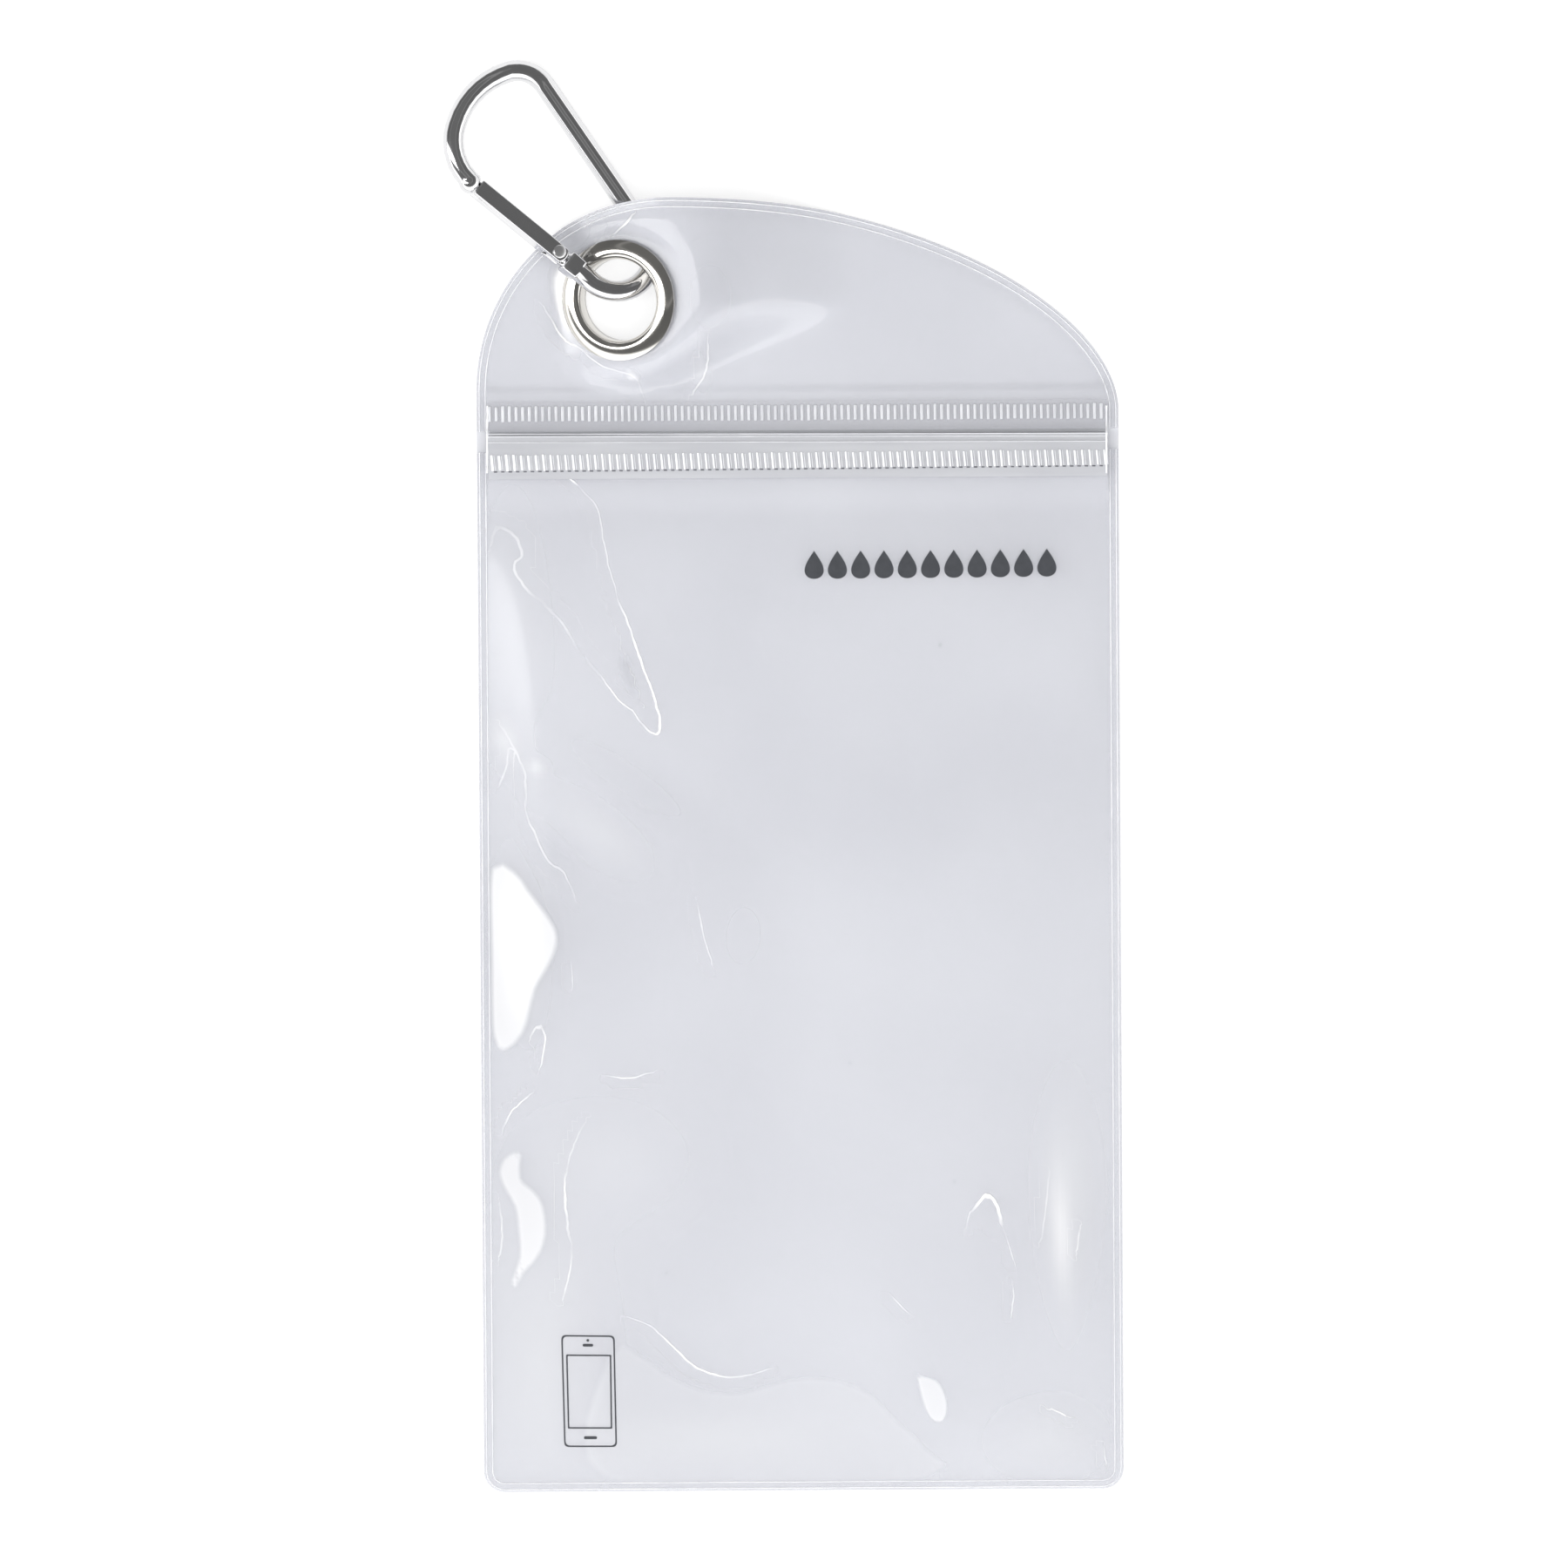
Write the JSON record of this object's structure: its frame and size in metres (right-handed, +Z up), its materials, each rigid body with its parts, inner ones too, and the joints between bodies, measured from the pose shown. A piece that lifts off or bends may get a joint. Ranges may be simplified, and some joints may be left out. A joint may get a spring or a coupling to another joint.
{
  "type": "splashproof phone pouch",
  "caption": "Flat film pouch for a phone with a press-seal zip, a metal eyelet in its rounded flap and a sprung snap hook through the eyelet, lying flat and empty.",
  "frame": {"origin": "centre of the rear panel's flat underside, half way along and across the film", "axes": "+Y along the pouch towards the eyelet flap, +Z up out of the front film, +X to its right"},
  "size_m": [0.1154, 0.2468, 0.0111],
  "materials": {
    "milky_film": "milky translucent soft film",
    "clear_film": "clear glossy soft film",
    "zip_plastic": "clear glossy",
    "nickel": "polished",
    "polished_steel": "polished",
    "spring_steel": "drawn wire"
  },
  "bodies": {
    "pouch": {"rear_panel": "milky_film", "flap_layer": "clear_film", "front_panel": "clear_film", "zip_groove_strip": "zip_plastic", "zip_rib_strip": "zip_plastic", "eyelet": "nickel", "eyelet_washer": "nickel"},
    "clip": {"clip_body": "polished_steel", "gate_pivot": "polished_steel"},
    "gate": {"clip_gate": "polished_steel", "gate_spring": "spring_steel"},
    "plunger": {"gate_plunger": "spring_steel"}
  },
  "joints": [
    {"name": "clip_swing", "type": "hinge", "parent": "pouch", "child": "clip", "pos_m": [-0.03, 0.09405, 0], "axis": [0, 0, 1], "range_deg": [-4, 8]},
    {"name": "gate_hinge", "type": "hinge", "parent": "clip", "child": "gate", "pos_m": [-0.04105, 0.10227, 0.00715], "axis": [-0.2907, -0.1953, -0.9367], "range_deg": [0, 30], "stiffness_Nm_per_rad": 0.008, "springref_deg": -17.19},
    {"name": "plunger_slide", "type": "slide", "parent": "gate", "child": "plunger", "axis": [-0.7617, 0.6397, 0.103], "range_m": [0, 0.0005], "deforming": ["gate_spring"]}
  ],
  "couplings": [
    {"joint": "plunger_slide", "follows": "gate_hinge", "m_per_rad": 0.000813}
  ]
}
